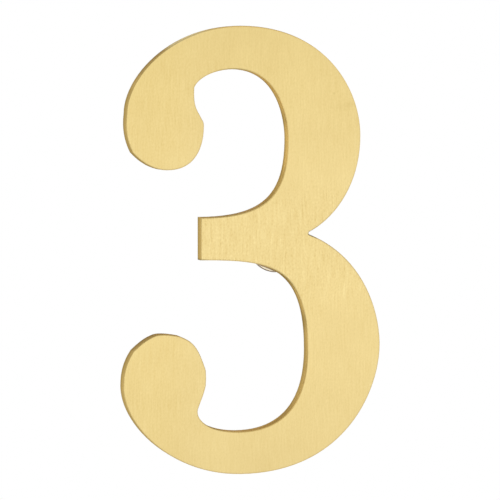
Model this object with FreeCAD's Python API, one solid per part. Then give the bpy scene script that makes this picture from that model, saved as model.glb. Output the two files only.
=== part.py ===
"""A brass door number: the figure 3 with ball ends, on hidden studs and spacers.

Lengths are in millimetres and angles in degrees. X runs across the figure, +Z is up, and
the face looks towards -Y. The origin is the middle of the waist spacer's seat, which lies
on the door's surface.
"""
import FreeCAD, Part
import math
import os

# Figure, measured from the lower ball's left edge and from the foot
figure_height = 76.0
figure_width = 44.3
upper_bowl_setback = 3.4
bowl_stroke = 12.61
crown_stroke = 7.34
foot_stroke = 7.23
crown_shift = 1.9
upper_counter_shift = 3.1
lower_counter_shift = 2.4

# Arm, which points left from the waist
arm_level = 40.0
arm_depth = 7.25
arm_end = 13.3
notch_depth = 8.95
notch_rise = 0.86
notch_end = 0.37

# Ball ends
upper_ball_width = 13.28
upper_ball_inset = 0.62
upper_neck_bite = 1.65
lower_ball_width = 14.2
lower_neck_bite = 1.4

# Plate
plate_thickness = 3.0
edge_easing = 0.2
easing_steps = 2

# Studs screwed into the back of the plate, and the spacers between the plate and the door
front_skin = 1.3
stud_diameter = 4.0
stud_length = 20.0
stud_point = 0.5
thread_height = 0.35
spacer_diameter = 9.0
spacer_thickness = 1.5
spacer_edge = 0.2
bore_clearance = 0.15
waist_fixing_inset = 5.15
waist_fixing_drop = 2.26

# Headings of the outline, anticlockwise from +X
RIGHT, UP, LEFT, DOWN = 0.0, 90.0, 180.0, -90.0

# Levels and edges that several points share
upper_bowl_right = figure_width - upper_bowl_setback
midline = figure_width / 2
arm_top = arm_level + arm_depth / 2
arm_underside = arm_level - arm_depth / 2
upper_counter_top = figure_height - crown_stroke
upper_ball_right = upper_ball_inset + upper_ball_width
notch_x = upper_bowl_right - notch_depth
notch_level = arm_level + notch_rise

# Depths, from the door's surface towards the viewer
plate_back = -spacer_thickness
plate_front = plate_back - plate_thickness
hole_bottom = plate_front + front_skin
stud_tip = hole_bottom + stud_length

# Radii about the axis of a stud
crest_radius = stud_diameter / 2
core_radius = crest_radius - thread_height
bore_radius = crest_radius + bore_clearance
spacer_radius = spacer_diameter / 2


def upper_level(share):
    """Height of a point beside the upper counter, as a share of that counter's height."""
    return arm_top + share * (upper_counter_top - arm_top)


def lower_level(share):
    """Height of a point beside the lower counter, as a share of that counter's height."""
    return foot_stroke + share * (arm_underside - foot_stroke)


class Knot:
    """A point that the outline turns through.

    The line arrives and leaves at the knot's heading, or leaves turned by a few degrees
    where a file has left a faint corner. A reach is the length of the curve's handle on
    that side, as a share of the straight distance to the neighbouring knot.
    """

    def __init__(self, x, z, heading, reach_in=0.0, reach_out=0.0, turn=0.0):
        self.x = x
        self.z = z
        self.heading = heading
        self.turn = turn
        self.reach_in = reach_in
        self.reach_out = reach_out

    def point(self, inset):
        """The knot itself, or its place on a line that runs this far inside the outline."""
        inward = direction(self.heading + self.turn / 2 - 90)
        mitre = inset / math.cos(math.radians(self.turn / 2))
        return FreeCAD.Vector(self.x, 0, self.z) + inward * mitre


def direction(heading):
    """The unit vector along a heading."""
    angle = math.radians(heading)
    return FreeCAD.Vector(math.cos(angle), 0, math.sin(angle))


def span(start, end, inset):
    """The edge between two knots: straight where neither has a reach, a cubic otherwise."""
    first = start.point(inset)
    last = end.point(inset)
    if start.reach_out == 0 and end.reach_in == 0:
        return Part.makeLine(first, last)
    distance = (last - first).Length
    leaving = direction(start.heading + start.turn) * (distance * start.reach_out)
    arriving = direction(end.heading) * (distance * end.reach_in)
    curve = Part.BezierCurve()
    curve.setPoles([first, first + leaving, last - arriving, last])
    return curve.toShape()


# Outer line, clockwise from the crown to the lower ball
crown = Knot(midline - crown_shift, figure_height, RIGHT, reach_in=0.48, reach_out=0.51)
upper_belly = Knot(upper_bowl_right, upper_level(0.55), DOWN, reach_in=0.30, reach_out=0.467)
notch_roof = Knot(notch_x, notch_level + notch_end / 2, LEFT + 26, reach_in=0.248, turn=66)
notch_sill = Knot(notch_x, notch_level - notch_end / 2, DOWN + 2, reach_out=0.466, turn=66)
lower_belly = Knot(figure_width, lower_level(0.50), DOWN, reach_in=0.241, reach_out=0.24)
foot = Knot(midline - crown_shift, 0, LEFT, reach_in=0.56, reach_out=0.47)

# Lower ball
lower_ball_left = Knot(0, lower_level(0.27), UP, reach_in=0.26, reach_out=0.37)
lower_ball_temple = Knot(0.124 * lower_ball_width, lower_level(0.478), UP - 34,
                         reach_in=0.365, reach_out=0.56, turn=-12)
lower_ball_shoulder = Knot(0.39 * lower_ball_width, lower_level(0.567), RIGHT + 22,
                           reach_in=0.24, reach_out=0.33, turn=-4)
lower_ball_brow = Knot(0.685 * lower_ball_width, lower_level(0.56), RIGHT - 15,
                       reach_in=0.04, reach_out=0.33, turn=-7)
lower_ball_cheek = Knot(lower_ball_width, lower_level(0.36), DOWN + 18,
                        reach_in=0.60, reach_out=0.58, turn=-15)
lower_ball_chin = Knot(lower_ball_width, lower_level(0.27), DOWN - 2,
                       reach_in=0.61, reach_out=0.50, turn=-11)

# Lower counter
lower_neck = Knot(lower_ball_width - lower_neck_bite, lower_level(0.12), DOWN,
                  reach_in=0.16, reach_out=0.30)
lower_counter_foot = Knot(midline - lower_counter_shift, foot_stroke, RIGHT,
                          reach_in=0.44, reach_out=0.42)
lower_counter_belly = Knot(figure_width - bowl_stroke, lower_level(0.475), UP,
                           reach_in=0.51, reach_out=0.60)

# Square end of the arm
arm_lower_corner = Knot(arm_end, arm_underside, LEFT, reach_in=0.50, turn=-90)
arm_upper_corner = Knot(arm_end, arm_top, UP, reach_out=0.56, turn=-90)

# Upper counter
upper_counter_belly = Knot(upper_bowl_right - bowl_stroke, upper_level(0.535), UP,
                           reach_in=0.49, reach_out=0.12)
upper_counter_crown = Knot(midline - upper_counter_shift, upper_counter_top, LEFT,
                           reach_in=0.58, reach_out=0.51)
upper_neck = Knot(upper_ball_right - upper_neck_bite, upper_level(0.875), DOWN - 18,
                  reach_in=0.19, reach_out=0.62, turn=15)

# Upper ball
upper_ball_brow = Knot(0.98 * upper_ball_right, upper_level(0.657), DOWN + 25,
                       reach_in=0.34, reach_out=0.27, turn=19)
upper_ball_cheek = Knot(upper_ball_right, upper_level(0.62), DOWN, reach_in=0.38, reach_out=0.44)
upper_ball_chin = Knot(upper_ball_inset + 0.54 * upper_ball_width, upper_level(0.32), LEFT,
                       reach_in=0.435, reach_out=0.03, turn=-8)
upper_ball_jaw = Knot(upper_ball_inset + 0.08 * upper_ball_width, upper_level(0.44), UP + 42,
                      reach_in=0.66, reach_out=0.55, turn=-15)
upper_ball_left = Knot(upper_ball_inset, upper_level(0.70), UP, reach_in=0.05, reach_out=0.25)

OUTLINE = [
    crown, upper_belly, notch_roof, notch_sill, lower_belly, foot,
    lower_ball_left, lower_ball_temple, lower_ball_shoulder, lower_ball_brow,
    lower_ball_cheek, lower_ball_chin,
    lower_neck, lower_counter_foot, lower_counter_belly,
    arm_lower_corner, arm_upper_corner,
    upper_counter_belly, upper_counter_crown, upper_neck,
    upper_ball_brow, upper_ball_cheek, upper_ball_chin, upper_ball_jaw, upper_ball_left,
]


def middle(left, right):
    """The point midway between two knots, as distances across and up."""
    return (left.x + right.x) / 2, (left.z + right.z) / 2


# Fixings: one behind the waist and one behind the middle of each ball
FIXINGS = {
    "waist": (notch_x - waist_fixing_inset, notch_level - waist_fixing_drop),
    "upper_ball": middle(upper_ball_left, upper_ball_cheek),
    "lower_ball": middle(lower_ball_left, lower_ball_cheek),
}


def turned(fixing, profile):
    """A round solid on one fixing's axis, from the (radius, depth) corners of its section."""
    across, up = FIXINGS[fixing]
    corners = [FreeCAD.Vector(across + radius, depth, up) for radius, depth in profile]
    face = Part.Face(Part.makePolygon(corners + corners[:1]))
    return face.revolve(FreeCAD.Vector(across, 0, up), FreeCAD.Vector(0, 1, 0), 360)


def section(depth, inset):
    """The figure's outline at one depth, drawn in by an inset."""
    pairs = zip(OUTLINE, OUTLINE[1:] + OUTLINE[:1])
    wire = Part.Wire([span(start, end, inset) for start, end in pairs])
    wire.translate(FreeCAD.Vector(0, depth, 0))
    return wire


def make_plate():
    """The flat figure, with square walls and the edge of its face eased all the way round."""
    sections = [section(plate_back, 0)]
    for step in range(easing_steps + 1):
        angle = math.radians(90 * step / easing_steps)
        inset = edge_easing * (1 - math.cos(angle))
        below_face = edge_easing * (1 - math.sin(angle))
        sections.append(section(plate_front + below_face, inset))
    return Part.makeLoft(sections, True, True)


def make_hole(fixing):
    """The blind hole for a stud, drawn at the thread's core and countersunk to its crests."""
    return turned(fixing, [
        (0, hole_bottom),
        (core_radius, hole_bottom),
        (core_radius, plate_back - thread_height),
        (crest_radius, plate_back),
        (0, plate_back),
    ])


def make_numeral():
    """The figure in one piece, with a blind hole behind each fixing."""
    body = make_plate()
    for fixing in FIXINGS:
        body = body.cut(make_hole(fixing))
    return body


def make_stud(fixing):
    """A threaded stud screwed home: the core of its thread up to the door, its crests beyond."""
    return turned(fixing, [
        (0, hole_bottom),
        (core_radius - stud_point, hole_bottom),
        (core_radius, hole_bottom + stud_point),
        (core_radius, 0),
        (crest_radius, thread_height),
        (crest_radius, stud_tip - stud_point),
        (crest_radius - stud_point, stud_tip),
        (0, stud_tip),
    ])


def make_spacer(fixing):
    """A turned ring that sits loosely on its stud, with both outer rims chamfered."""
    return turned(fixing, [
        (bore_radius, plate_back),
        (spacer_radius - spacer_edge, plate_back),
        (spacer_radius, plate_back + spacer_edge),
        (spacer_radius, -spacer_edge),
        (spacer_radius - spacer_edge, 0),
        (bore_radius, 0),
    ])


def export(name, shape):
    """Write one piece, moved so that the waist spacer's seat is the origin."""
    across, up = FIXINGS["waist"]
    placed = shape.copy()
    placed.translate(FreeCAD.Vector(-across, 0, -up))
    placed.exportStep("parts/" + name + ".step")


os.makedirs("parts", exist_ok=True)
export("numeral", make_numeral())
for fixing in FIXINGS:
    export(fixing + "_stud", make_stud(fixing))
    export(fixing + "_spacer", make_spacer(fixing))
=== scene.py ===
"""The look of a satin brass door number, a figure 3 with ball ends, on studs and spacers.

Lengths are in metres. X runs across the figure, Z is up and the face looks towards -Y.
The origin lies on the door's surface, behind the waist.

A ramp's name holds where the ramp starts, where it ends and the values at the two, which are
0 and 1 where none are given.
"""
import bmesh
import bpy
import math
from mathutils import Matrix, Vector


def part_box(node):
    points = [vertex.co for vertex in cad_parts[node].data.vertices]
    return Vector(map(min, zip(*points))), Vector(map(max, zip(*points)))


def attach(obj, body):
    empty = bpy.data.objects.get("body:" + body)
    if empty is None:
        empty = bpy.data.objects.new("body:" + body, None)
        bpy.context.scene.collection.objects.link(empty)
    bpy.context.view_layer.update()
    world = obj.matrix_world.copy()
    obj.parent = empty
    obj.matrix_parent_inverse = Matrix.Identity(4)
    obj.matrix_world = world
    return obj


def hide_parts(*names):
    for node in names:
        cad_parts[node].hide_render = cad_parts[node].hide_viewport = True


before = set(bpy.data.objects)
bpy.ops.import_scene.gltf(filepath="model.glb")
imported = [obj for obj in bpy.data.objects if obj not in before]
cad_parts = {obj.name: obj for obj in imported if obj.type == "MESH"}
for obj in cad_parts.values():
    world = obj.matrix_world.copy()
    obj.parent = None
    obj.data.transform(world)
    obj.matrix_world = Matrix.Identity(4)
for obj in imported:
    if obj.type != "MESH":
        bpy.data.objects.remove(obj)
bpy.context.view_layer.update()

MM = 0.001

# Nodes of the part
FIGURE = "numeral"
STUDS = ("waist_stud", "upper_ball_stud", "lower_ball_stud")
SPACERS = ("waist_spacer", "upper_ball_spacer", "lower_ball_spacer")

# Camera, which looks at the figure from slightly left and slightly above
VIEW_AZIMUTH = math.radians(-10.4)
VIEW_ELEVATION = math.radians(2.52)
VIEW_DISTANCE = 670 * MM
VIEW_TARGET = Vector((-5.02, -4.5, -0.53)) * MM
SENSOR_WIDTH = 36.0
LENS = 284.8
CLIP_START = 10 * MM

# Softboxes: name, place, width, height and power
SOFTBOXES = (
    ("key_light", (0.13, -0.7, -0.045), 0.5, 0.12, 0.12),
    ("left_light", (-0.9, -0.15, -0.3), 0.6, 0.6, 3.0),
    ("top_light", (0.2, -0.5, 1.0), 0.8, 0.8, 1.0),
    ("back_light", (0.3, 0.9, 0.5), 0.8, 0.8, 2.0),
)

# Even light from all round, and the floor with its share of plain white by the distance
EVEN_LIGHT = 0.6
WHITE = (1.0, 1.0, 1.0, 1.0)
FLOOR_LEVEL = -150 * MM
FLOOR_REACH = 4.0
FLOOR_GREY = (0.8, 0.8, 0.79, 1.0)
FLOOR_WHITENESS = (0.35, 0.9, 0.3, 1.0)

# All noise: how much its finer layers count, and a grain so long that nothing changes along it
NOISE_ROUGHNESS = 0.55
ENDLESS = 1.0

# Depth of the bumps at full strength
BUMP_DEPTH = 0.01 * MM

# Sockets of a Mix node that are in use when it mixes colours
MIX_SHARE = 0
MIX_FIRST = 6
MIX_SECOND = 7
MIX_RESULT = 2


def add_object(name, data):
    made = bpy.data.objects.new(name, data)
    bpy.context.scene.collection.objects.link(made)
    return made


def opaque(colour):
    """A plain colour with its alpha. The output of a node stays as it is."""
    if isinstance(colour, bpy.types.NodeSocket):
        return colour
    return (*colour, 1.0)


class Graph:
    """Short calls that add and join the nodes of one material or world."""

    def __init__(self, owner):
        owner.use_nodes = True
        self.tree = owner.node_tree
        self.tree.nodes.clear()

    def add(self, kind, inputs=None, **settings):
        """A node with its settings, and with each input set to a value or joined to an output."""
        node = self.tree.nodes.new("ShaderNode" + kind)
        for name, value in settings.items():
            setattr(node, name, value)
        for socket, value in (inputs or {}).items():
            if isinstance(value, bpy.types.NodeSocket):
                self.tree.links.new(value, node.inputs[socket])
            else:
                node.inputs[socket].default_value = value
        return node

    def math(self, operation, *values):
        """The result of one operation on numbers."""
        return self.add("Math", dict(enumerate(values)), operation=operation).outputs[0]

    def product(self, first, *others):
        """Several numbers multiplied together."""
        for other in others:
            first = self.math("MULTIPLY", first, other)
        return first

    def mix(self, share, first, second):
        """A number between the first and the second."""
        span = self.math("SUBTRACT", second, first)
        return self.math("MULTIPLY_ADD", span, share, first)

    def ramp(self, value, start, end, low=0.0, high=1.0):
        """A number that goes smoothly from low to high as the value goes from start to end."""
        inputs = {"Value": value, "From Min": start, "From Max": end, "To Min": low, "To Max": high}
        node = self.add("MapRange", inputs, interpolation_type="SMOOTHSTEP")
        return node.outputs["Result"]

    def parts(self, vector):
        """The X, Y and Z of a vector, by those names."""
        return self.add("SeparateXYZ", {"Vector": vector}).outputs

    def vector(self, operation, *values):
        """The result of one operation on vectors or colours."""
        node = self.add("VectorMath", dict(enumerate(values)), operation=operation)
        return node.outputs["Vector"]

    def length(self, operation, *vectors):
        """A length, or the distance between two points."""
        node = self.add("VectorMath", dict(enumerate(vectors)), operation=operation)
        return node.outputs["Value"]

    def scale(self, colour, factor):
        """A colour made darker or lighter."""
        inputs = {0: colour, "Scale": factor}
        return self.add("VectorMath", inputs, operation="SCALE").outputs["Vector"]

    def blend(self, share, first, second):
        """A colour between the first and the second."""
        inputs = {MIX_SHARE: share, MIX_FIRST: opaque(first), MIX_SECOND: opaque(second)}
        return self.add("Mix", inputs, data_type="RGBA").outputs[MIX_RESULT]

    def noise(self, place, grain, detail=3.0, offset=(0.0, 0.0, 0.0)):
        """Noise whose grains have the given lengths along X, Y and Z."""
        scale = [1 / length for length in grain]
        mapped = self.add("Mapping", {"Vector": place, "Location": offset, "Scale": scale})
        inputs = {
            "Vector": mapped.outputs["Vector"],
            "Scale": 1.0,
            "Detail": detail,
            "Roughness": NOISE_ROUGHNESS,
        }
        return self.add("TexNoise", inputs).outputs["Fac"]

    def swing(self, place, **form):
        """Noise that goes below zero as far as above."""
        return self.math("SUBTRACT", self.noise(place, **form), 0.5)

    def patch(self, place, middle, radii):
        """One in the middle of an oval, given in mm, and fading to nothing at its rim."""
        inputs = {
            "Vector": place,
            "Location": (-middle[0] / radii[0], 0.0, -middle[1] / radii[1]),
            "Scale": (1 / (radii[0] * MM), 0.0, 1 / (radii[1] * MM)),
        }
        mapped = self.add("Mapping", inputs).outputs["Vector"]
        return self.ramp(self.length("LENGTH", mapped), 1.0, 0.0)

    def patches(self, place, ovals):
        """The sum of several patches, each times its own strength."""
        total = 0.0
        for middle, radii, strength in ovals:
            total = self.math("MULTIPLY_ADD", self.patch(place, middle, radii), strength, total)
        return total

    def bump(self, height, strength):
        inputs = {"Height": height, "Strength": strength, "Distance": BUMP_DEPTH}
        return self.add("Bump", inputs).outputs["Normal"]

    def metal(self, colour, roughness, others=None):
        """The metal shader that ends a material, with its other inputs by name."""
        inputs = {"Base Color": colour, "Metallic": 1.0, "Roughness": roughness, **(others or {})}
        shader = self.add("BsdfPrincipled", inputs)
        self.add("OutputMaterial", {"Surface": shader.outputs["BSDF"]})


# Colours of the figure's face, as linear RGB, and what a glint adds to them
FACE_BRASS = (0.82, 0.6485, 0.290)
WARM_BRASS = (0.82, 0.640, 0.2665)
FACE_GLINT = (0.76, 0.74, 0.47)
SCUFF_BROWN = (0.37, 0.25, 0.03)

# Brush marks: width, length and strength of each kind, and its place in the noise
BRUSH_MARKS = (
    (0.26 * MM, 0.45 * MM, 0.23, (0.0, 0.0, 0.0)),
    (0.32 * MM, 3.2 * MM, 0.22, (3.0, 0.0, 7.0)),
    (0.80 * MM, 9.0 * MM, 0.08, (8.0, 0.0, 1.0)),
)
BRUSH_DETAIL = 1.0
SWAY_NOISE = dict(grain=(9 * MM, ENDLESS, 7 * MM), detail=1.0, offset=(1.0, 0.0, 4.0))
SWAY_REACH = 0.8 * MM

# Strength of the marks, by the distance above or below the arm and by the place across
MARKS_OFF_THE_ARM = (5 * MM, 14 * MM, 1.95, 0.95)
MARKS_AT_THE_ENDS = (26 * MM, 36 * MM, 1.0, 0.75)
MARKS_RIGHTWARD = (-25 * MM, 5 * MM, 1.04, 0.9)

# Glint, in slow clouds, painted shade that darkens the lowest part of the face a little, and warmth
# of the tone
CLOUD_NOISE = dict(grain=(7 * MM, ENDLESS, 8 * MM), offset=(5.0, 0.0, 2.0))
CLOUD_GLINT = 0.11
FACE_PAINTED_SHADE_LOW = (-20 * MM, -10 * MM, -0.015, 0.0)
WARMTH_UPWARD = (6 * MM, 34 * MM, 0.0, 0.65)
WARMTH_LEFTWARD = (-14 * MM, -20 * MM, 0.0, 0.44)

# Small marks on the face: middle, half width and half height in mm, and share of brown
SCUFFS = (
    ((10.9, 23.6), (2.0, 1.0), 0.06),
    ((12.2, 24.1), (1.3, 0.8), 0.09),
    ((9.5, 25.95), (0.4, 0.4), 0.18),
)


def brush_marks(graph, place, spot):
    """Upright marks that sway slightly, deepest across the arm and faint at crown and foot."""
    sway = graph.math("MULTIPLY", graph.swing(place, **SWAY_NOISE), SWAY_REACH)
    shift = graph.add("CombineXYZ", {"X": sway}).outputs["Vector"]
    swayed = graph.vector("ADD", place, shift)
    marks = 0.0
    for width, length, strength, offset in BRUSH_MARKS:
        grain = (width, ENDLESS, length)
        noise = graph.swing(swayed, grain=grain, detail=BRUSH_DETAIL, offset=offset)
        marks = graph.math("MULTIPLY_ADD", noise, strength, marks)
    away = graph.math("ABSOLUTE", spot["Z"])
    return graph.product(
        marks,
        graph.ramp(away, *MARKS_OFF_THE_ARM),
        graph.ramp(away, *MARKS_AT_THE_ENDS),
        graph.ramp(spot["X"], *MARKS_RIGHTWARD),
    )


def face_colour(graph, place, spot, marks):
    """Brass that glints with the marks and in slow clouds, with its scuffs."""
    glint = graph.math("MULTIPLY_ADD", graph.swing(place, **CLOUD_NOISE), CLOUD_GLINT, marks)
    # Painted shade: a little less glint, and so a darker face, in the lowest part
    glint = graph.math("ADD", glint, graph.ramp(spot["Z"], *FACE_PAINTED_SHADE_LOW))

    # The tone is warmer towards the crown and on the two balls
    upward = graph.ramp(spot["Z"], *WARMTH_UPWARD)
    leftward = graph.ramp(spot["X"], *WARMTH_LEFTWARD)
    tone = graph.blend(graph.math("ADD", upward, leftward), FACE_BRASS, WARM_BRASS)
    colour = graph.vector("MULTIPLY_ADD", FACE_GLINT, glint, tone)
    return graph.blend(graph.patches(place, SCUFFS), colour, SCUFF_BROWN)


# Colours of the figure's walls and back. The walls' brass is a darker copy of the face's brass, as
# painted shade.
WALL_BRASS_PAINTED_SHADE = (0.445, 0.325, 0.118)
INNER_WALL_PAINTED_LIGHT = (0.65, 0.46, 0.158)
TOP_WALL_PAINTED_SHADE = (0.24, 0.16, 0.065)
CROWN_PAINTED_HIGHLIGHT = (0.50, 0.42, 0.22)
BACK_BRASS = (0.74, 0.56, 0.24)

# Shares of the walls' colours: the inner walls' painted light by the place, and the top walls'
# painted shade by the lean upward
INNER_LIGHT_RIGHTWARD = (-20 * MM, -2 * MM)
INNER_LIGHT_UPWARD = (4 * MM, 18 * MM, 0.45, 1.0)
TOP_SHADE_LEAN = (0.15, 1.2)

# The painted highlight on a stretch of the crown's wall: its left end, its right end and its foot
CROWN_HIGHLIGHT_LEFT = (-20 * MM, -18 * MM)
CROWN_HIGHLIGHT_RIGHT = (-9 * MM, -15 * MM)
CROWN_HIGHLIGHT_FOOT = (31 * MM, 33 * MM)

# Filed marks that run round the walls, and how dark the walls are by mark, with painted shade
# towards the back and painted light towards the foot
FILED_NOISE = dict(grain=(6 * MM, 0.12 * MM, 6 * MM))
FILED_SHADE = (0.3, 0.7, 0.9, 1.1)
WALL_PAINTED_SHADE_AT_BACK = (-1.0 * MM, -5.0 * MM, 0.78, 1.22)
WALL_PAINTED_LIGHT_AT_FOOT = (-18 * MM, -28 * MM, 1.0, 1.12)

# Back of the plate, linished across and tarnished in slow clouds
LINISHED_NOISE = dict(grain=(7 * MM, ENDLESS, 0.16 * MM), detail=4.0)
LINISHED_SHADE = (0.25, 0.75, 0.88, 1.12)
TARNISH_NOISE = dict(grain=(12 * MM, ENDLESS, 12 * MM), offset=(3.0, 0.0, 9.0))
TARNISH_SHADE = (0.3, 0.7, 0.86, 1.06)


def wall_colour(graph, spot, upward, filed):
    """Brass darkened as painted shade, most towards the back and where it faces up, and lightened
    as painted light inside, towards the foot and on a stretch of the crown.
    """
    inner_light = graph.product(
        graph.ramp(spot["X"], *INNER_LIGHT_RIGHTWARD),
        graph.ramp(spot["Z"], *INNER_LIGHT_UPWARD),
    )
    crown_highlight = graph.product(
        graph.ramp(spot["X"], *CROWN_HIGHLIGHT_LEFT),
        graph.ramp(spot["X"], *CROWN_HIGHLIGHT_RIGHT),
        graph.ramp(spot["Z"], *CROWN_HIGHLIGHT_FOOT),
    )
    # Filed marks, with painted shade towards the back and painted light towards the foot
    shade = graph.product(
        graph.ramp(filed, *FILED_SHADE),
        graph.ramp(spot["Y"], *WALL_PAINTED_SHADE_AT_BACK),
        graph.ramp(spot["Z"], *WALL_PAINTED_LIGHT_AT_FOOT),
    )
    # Painted shade and light: a darker copy of the face's brass, lighter inside, darker where it
    # faces up, and a painted highlight on the crown
    colour = graph.blend(inner_light, WALL_BRASS_PAINTED_SHADE, INNER_WALL_PAINTED_LIGHT)
    colour = graph.blend(graph.ramp(upward, *TOP_SHADE_LEAN), colour, TOP_WALL_PAINTED_SHADE)
    colour = graph.blend(crown_highlight, colour, CROWN_PAINTED_HIGHLIGHT)
    return graph.scale(colour, shade)


def back_colour(graph, linished, tarnish):
    """Plain brass with its linishing and its tarnish."""
    shade = graph.product(
        graph.ramp(linished, *LINISHED_SHADE),
        graph.ramp(tarnish, *TARNISH_SHADE),
    )
    return graph.scale(BACK_BRASS, shade)


# The lean at which each begins and is full: the face, the edges with the walls, and the back.
# The eased edge takes the walls' darker colour, as painted shade, sooner by these shares of its
# lean up and to the left.
FACE_LEAN = (-0.60, -0.97)
EDGE_LEAN = (-0.995, -0.9)
BACK_LEAN = (0.72, 0.985)
EDGE_SHADE_RISE = 0.48
EDGE_SHADE_LEFT = 0.42

# Stretches of the edges: middle, half width and half height in mm, and how much painted shade
# darkens them. Below zero the stretch gets a painted highlight instead.
EDGE_PAINTED_SHADE_AND_LIGHT = (
    ((0.8, -5.4), (4.5, 3.5), 0.35),
    ((-8.5, 5.2), (7.0, 2.5), 0.25),
    ((-7.5, 30.0), (5.0, 2.5), 0.30),
    ((-11.5, -30.5), (3.0, 2.5), 0.35),
    ((4.6, -12.6), (3.0, 2.6), 0.25),
    ((1.1, 21.8), (3.0, 2.4), 0.20),
    ((-1.0, 37.0), (9.0, 4.0), 0.12),
    ((5.6, 1.8), (2.4, 0.85), 0.65),
    ((-13.3, -2.3), (1.5, 0.5), 0.55),
    ((0.3, 12.2), (2.5, 2.5), 0.15),
    ((-24.6, 27.9), (3.0, 2.4), -0.20),
    ((-25.0, -17.6), (2.5, 2.4), -0.12),
)

# Gloss of the brass, by the depth of the marks on the face and by the tarnish on the back
FACE_ROUGHNESS = (-0.05, 0.05, 0.38, 0.42)
BACK_ROUGHNESS = (0.3, 0.7, 0.5, 0.36)
WALL_ROUGHNESS = 0.6
BRASS_RELIEF = 0.2
ANISOTROPY = 0.8
BRASS_TINT = (0.8, 0.6, 0.35)


def brass_material():
    """Satin brass: a brushed face with an eased edge, filed walls and a linished back."""
    material = bpy.data.materials.new("brushed_brass")
    graph = Graph(material)
    coords = graph.add("TexCoord").outputs
    place = coords["Object"]
    spot = graph.parts(place)
    normal = graph.parts(coords["Normal"])

    # The face with its eased edge, which keeps the face's brighter colour where it leans to the
    # right or down, as painted light, and takes the walls' darker colour sooner where it leans up
    # or left, as painted shade
    lean = graph.math("MULTIPLY_ADD", normal["Z"], EDGE_SHADE_RISE, normal["Y"])
    lean = graph.math("MULTIPLY_ADD", normal["X"], -EDGE_SHADE_LEFT, lean)
    face = graph.ramp(lean, *FACE_LEAN)
    edge = graph.ramp(normal["Y"], *EDGE_LEAN)
    back = graph.ramp(normal["Y"], *BACK_LEAN)

    marks = brush_marks(graph, place, spot)
    filed = graph.noise(place, **FILED_NOISE)
    linished = graph.noise(place, **LINISHED_NOISE)
    tarnish = graph.noise(place, **TARNISH_NOISE)

    walls = wall_colour(graph, spot, normal["Z"], filed)
    colour = graph.blend(face, walls, face_colour(graph, place, spot, marks))
    # Painted shade on stretches of the edges, and painted highlights where the strength is below
    # zero
    edge_shade = graph.product(graph.patches(place, EDGE_PAINTED_SHADE_AND_LIGHT), edge)
    colour = graph.scale(colour, graph.math("SUBTRACT", 1.0, edge_shade))
    colour = graph.blend(back, colour, back_colour(graph, linished, tarnish))

    roughness = graph.mix(face, WALL_ROUGHNESS, graph.ramp(marks, *FACE_ROUGHNESS))
    roughness = graph.mix(back, roughness, graph.ramp(tarnish, *BACK_ROUGHNESS))
    relief = graph.mix(face, filed, marks)
    relief = graph.mix(back, relief, linished)
    tangent = graph.add("Tangent", direction_type="RADIAL", axis="Z")
    graph.metal(colour, roughness, {
        "Anisotropic": ANISOTROPY,
        "Specular Tint": opaque(BRASS_TINT),
        "Normal": graph.bump(relief, BRASS_RELIEF),
        "Tangent": tangent.outputs["Tangent"],
    })
    return material


# Colours of the spacers. The darker wall and the rim's brown are painted shade.
PALE_METAL = (0.95, 0.87, 0.68)
SPACER_WALL_PAINTED_SHADE = (0.50, 0.44, 0.34)
RIM_PAINTED_SHADE = (0.18, 0.11, 0.07)

# The painted shade of the rim: where it starts and is full, in from the rim, and its share by the
# place
RIM_DEPTHS = (0.19 * MM, 0.10 * MM)
RIM_RIGHTWARD = (-4.2 * MM, -1.6 * MM, 0.45, 1.0)

# Painted shadow of the plate on the waist spacer's front, from a line just below the plate's edge
# and sloped like it
PLATE_SHADOW_SLOPE = 0.41
PLATE_SHADOW_UPWARD = (-4.50 * MM, -4.34 * MM, 0.0, 0.75)
PLATE_SHADOW_LEAN = (-0.9, -0.99)

# Where the spacer's wall begins and is full, by the lean of the surface to the front or back
SPACER_WALL_LEAN = (0.6, 0.3)

# Mottled colour, turning rings and gloss of the spacers
MOTTLE_NOISE = dict(grain=(1.2 * MM, 1.2 * MM, 1.2 * MM))
MOTTLE_SHADE = (0.3, 0.7, 0.93, 1.05)
TURNING_PITCH = 0.15 * MM
TURNING_RELIEF = 0.15
SPACER_ROUGHNESS = 0.25


def from_spacer_axis(graph, place):
    """The distance from the nearest spacer's axis."""
    flat = graph.vector("MULTIPLY", place, (1.0, 0.0, 1.0))
    nearest = ENDLESS
    for node in SPACERS:
        low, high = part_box(node)
        axis = ((low.x + high.x) / 2, 0.0, (low.z + high.z) / 2)
        nearest = graph.math("MINIMUM", nearest, graph.length("DISTANCE", flat, axis))
    return nearest


def spacer_painted_shade(graph, place, facing, from_axis):
    """The share of painted shade at the rims, and of the plate's painted shadow on the front by the
    plate's edge.
    """
    low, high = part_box(SPACERS[0])
    radius = (high.x - low.x) / 2
    spot = graph.parts(place)
    # Painted shade at the rim, stronger towards the right
    rim = graph.product(
        graph.ramp(from_axis, *[radius - depth for depth in RIM_DEPTHS]),
        graph.ramp(spot["X"], *RIM_RIGHTWARD),
    )
    height = graph.math("MULTIPLY_ADD", spot["X"], PLATE_SHADOW_SLOPE, spot["Z"])
    plate_shadow = graph.product(graph.ramp(height, *PLATE_SHADOW_UPWARD), graph.ramp(facing, *PLATE_SHADOW_LEAN))
    return graph.math("MAXIMUM", rim, plate_shadow)


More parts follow.
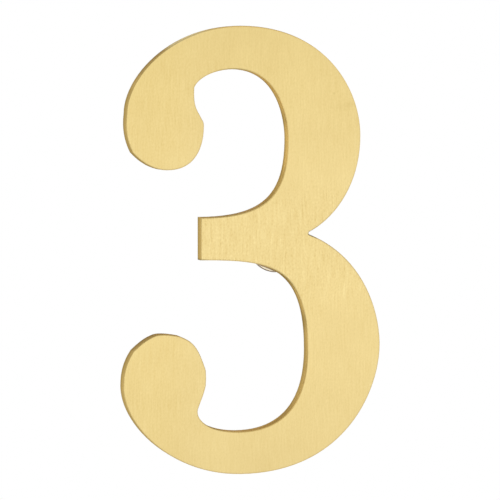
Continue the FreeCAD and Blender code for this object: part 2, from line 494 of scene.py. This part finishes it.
def spacer_material():
    """Pale metal with fine turning rings, with painted shade on its rim and wall and the plate's
    painted shadow on its front.
    """
    material = bpy.data.materials.new("spacer_metal")
    graph = Graph(material)
    coords = graph.add("TexCoord").outputs
    place = coords["Object"]
    facing = graph.parts(coords["Normal"])["Y"]
    wall = graph.ramp(graph.math("ABSOLUTE", facing), *SPACER_WALL_LEAN)
    from_axis = from_spacer_axis(graph, place)

    mottle = graph.noise(place, **MOTTLE_NOISE)
    colour = graph.scale(PALE_METAL, graph.ramp(mottle, *MOTTLE_SHADE))
    # Painted shade at the rims and the plate's painted shadow on the front
    colour = graph.blend(spacer_painted_shade(graph, place, facing, from_axis), colour, RIM_PAINTED_SHADE)
    # The spacer's wall gets a darker colour as painted shade
    colour = graph.blend(wall, colour, SPACER_WALL_PAINTED_SHADE)
    turns = graph.math("MULTIPLY", from_axis, 2 * math.pi / TURNING_PITCH)
    rings = graph.bump(graph.math("SINE", turns), TURNING_RELIEF)
    graph.metal(colour, SPACER_ROUGHNESS, {"Normal": rings})
    return material


# Bright rolled steel of the studs
STEEL = (0.62, 0.62, 0.60)
STEEL_NOISE = dict(grain=(0.6 * MM, 0.15 * MM, 0.6 * MM))
STEEL_SHADE = (0.3, 0.7, 0.92, 1.04)
STEEL_ROUGHNESS = (0.3, 0.7, 0.22, 0.36)


def steel_material():
    material = bpy.data.materials.new("stud_steel")
    graph = Graph(material)
    place = graph.add("TexCoord").outputs["Object"]
    grain = graph.noise(place, **STEEL_NOISE)
    colour = graph.scale(STEEL, graph.ramp(grain, *STEEL_SHADE))
    graph.metal(colour, graph.ramp(grain, *STEEL_ROUGHNESS))
    return material


def dress(node, material):
    """Give the whole of one node a material."""
    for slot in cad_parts[node].material_slots:
        slot.material = material


# Rolled thread of the studs. The end faces lie this far inside its root, with bevels to them.
THREAD_PITCH = 0.7 * MM
THREAD_HEIGHT = 0.429 * MM
THREAD_SEGMENTS = 48
END_INSET = 0.125 * MM

# Room for a stud in the plate's hole: the radius just inside its core, and its countersink
HOLE_CORE = 1.64 * MM
COUNTERSINK = 0.35 * MM
PLATE_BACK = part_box(FIGURE)[1].y

# The thread's section over one pitch, as shares of the pitch and of the height
ROOT_SHARE = 0.25
CREST_SHARE = 0.125
FLANK_SHARE = (1 - ROOT_SHARE - CREST_SHARE) / 2
THREAD_SECTION = (
    (0.0, 0.0),
    (ROOT_SHARE, 0.0),
    (ROOT_SHARE + FLANK_SHARE, 1.0),
    (ROOT_SHARE + FLANK_SHARE + CREST_SHARE, 1.0),
    (1.0, 0.0),
)

# Points closer than this are one
MERGE_DISTANCE = 1e-7


def thread_levels(low, high):
    """Steps along the thread, in pitches, each with its share of the thread's height."""
    levels = []
    for turn in range(math.floor(low / THREAD_PITCH) - 1, math.ceil(high / THREAD_PITCH) + 1):
        for (start, rise), (end, next_rise) in zip(THREAD_SECTION, THREAD_SECTION[1:]):
            levels.append((turn + start, rise))
            levels.append((turn + (start + end) / 2, (rise + next_rise) / 2))
    return levels


def radius_limit(depth, low, high, crest):
    """The largest radius a stud has at one depth, within its bevels and the plate's hole."""
    limit = crest - THREAD_HEIGHT - END_INSET + min(depth - low, high - depth)
    if depth < PLATE_BACK:
        limit = min(limit, HOLE_CORE + max(0.0, depth - PLATE_BACK + COUNTERSINK))
    return min(limit, crest)


def thread_mesh(low, high):
    """A closed rod in the given box with the thread wound round it as a helix."""
    axis = (low + high) / 2
    crest = (high.x - low.x) / 2
    levels = thread_levels(low.y, high.y)
    mesh = bmesh.new()
    columns = []
    for segment in range(THREAD_SEGMENTS + 1):
        lead = segment / THREAD_SEGMENTS
        angle = 2 * math.pi * lead
        column = []
        for level, rise in levels:
            depth = min(max((level + lead) * THREAD_PITCH, low.y), high.y)
            thread = crest - THREAD_HEIGHT * (1 - rise)
            radius = min(thread, radius_limit(depth, low.y, high.y, crest))
            x = axis.x + radius * math.cos(angle)
            z = axis.z + radius * math.sin(angle)
            column.append(mesh.verts.new((x, depth, z)))
        columns.append(column)
    for left, right in zip(columns, columns[1:]):
        for row in range(len(levels) - 1):
            mesh.faces.new((left[row], left[row + 1], right[row + 1], right[row]))
    bmesh.ops.remove_doubles(mesh, verts=mesh.verts, dist=MERGE_DISTANCE)
    rims = [edge for edge in mesh.edges if edge.is_boundary]
    bmesh.ops.holes_fill(mesh, edges=rims)
    bmesh.ops.recalc_face_normals(mesh, faces=mesh.faces)
    return mesh


def add_stud(node, material):
    """A threaded stud in place of the plain rod of one node."""
    name = node + "_thread"
    mesh = thread_mesh(*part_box(node))
    data = bpy.data.meshes.new(name)
    mesh.to_mesh(data)
    mesh.free()
    data.materials.append(material)
    piece = add_object(name, data)
    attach(piece, "root")
    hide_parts(node)


def add_camera():
    direction = Vector((
        math.sin(VIEW_AZIMUTH) * math.cos(VIEW_ELEVATION),
        -math.cos(VIEW_AZIMUTH) * math.cos(VIEW_ELEVATION),
        math.sin(VIEW_ELEVATION),
    ))
    data = bpy.data.cameras.new("camera")
    data.sensor_width = SENSOR_WIDTH
    data.lens = LENS
    data.clip_start = CLIP_START
    camera = add_object("camera", data)
    camera.location = VIEW_TARGET + direction * VIEW_DISTANCE
    camera.rotation_euler = (-direction).to_track_quat("-Z", "Y").to_euler()
    bpy.context.scene.camera = camera


def add_softbox(name, place, width, height, power):
    """A rectangular light that is aimed at the origin."""
    data = bpy.data.lights.new(name, "AREA")
    data.shape = "RECTANGLE"
    data.size = width
    data.size_y = height
    data.energy = power
    lamp = add_object(name, data)
    lamp.location = place
    lamp.rotation_euler = (-lamp.location).to_track_quat("-Z", "Y").to_euler()


def add_world():
    """White to the camera and in reflections, and a plain even light on everything else."""
    world = bpy.data.worlds.new("studio")
    bpy.context.scene.world = world
    graph = Graph(world)
    paths = graph.add("LightPath").outputs
    seen = graph.math("MAXIMUM", paths["Is Camera Ray"], paths["Is Glossy Ray"])
    seen = graph.math("MAXIMUM", seen, paths["Is Transmission Ray"])
    even = graph.add("Background", {"Color": WHITE, "Strength": EVEN_LIGHT}).outputs["Background"]
    white = graph.add("Background", {"Color": WHITE, "Strength": 1.0}).outputs["Background"]
    surface = graph.add("MixShader", {0: seen, 1: even, 2: white}).outputs["Shader"]
    graph.add("OutputWorld", {"Surface": surface})


def floor_material():
    """Pale grey near the figure and white further off. Reflections show it as white."""
    material = bpy.data.materials.new("floor")
    graph = Graph(material)
    place = graph.add("TexCoord").outputs["Object"]
    whiteness = graph.ramp(graph.length("LENGTH", place), *FLOOR_WHITENESS)
    paths = graph.add("LightPath").outputs
    mirrored = graph.math("MAXIMUM", paths["Is Glossy Ray"], paths["Is Transmission Ray"])
    share = graph.math("MULTIPLY", paths["Is Camera Ray"], whiteness)
    share = graph.math("MAXIMUM", share, mirrored)
    grey = graph.add("BsdfDiffuse", {"Color": FLOOR_GREY}).outputs["BSDF"]
    white = graph.add("Emission", {"Color": WHITE, "Strength": 1.0}).outputs["Emission"]
    surface = graph.add("MixShader", {0: share, 1: grey, 2: white}).outputs["Shader"]
    graph.add("OutputMaterial", {"Surface": surface})
    return material


def add_floor():
    """A level floor, well below the figure."""
    data = bpy.data.meshes.new("floor")
    sides = (-FLOOR_REACH, FLOOR_REACH)
    corners = [(x, y, FLOOR_LEVEL) for y in sides for x in sides]
    data.from_pydata(corners, [], [(0, 1, 3, 2)])
    data.materials.append(floor_material())
    add_object("floor", data)


add_camera()
add_world()
add_floor()
for softbox in SOFTBOXES:
    add_softbox(*softbox)

dress(FIGURE, brass_material())
steel = steel_material()
pale_metal = spacer_material()
for spacer in SPACERS:
    dress(spacer, pale_metal)
for stud in STUDS:
    add_stud(stud, steel)

bpy.context.scene.view_settings.view_transform = "Standard"
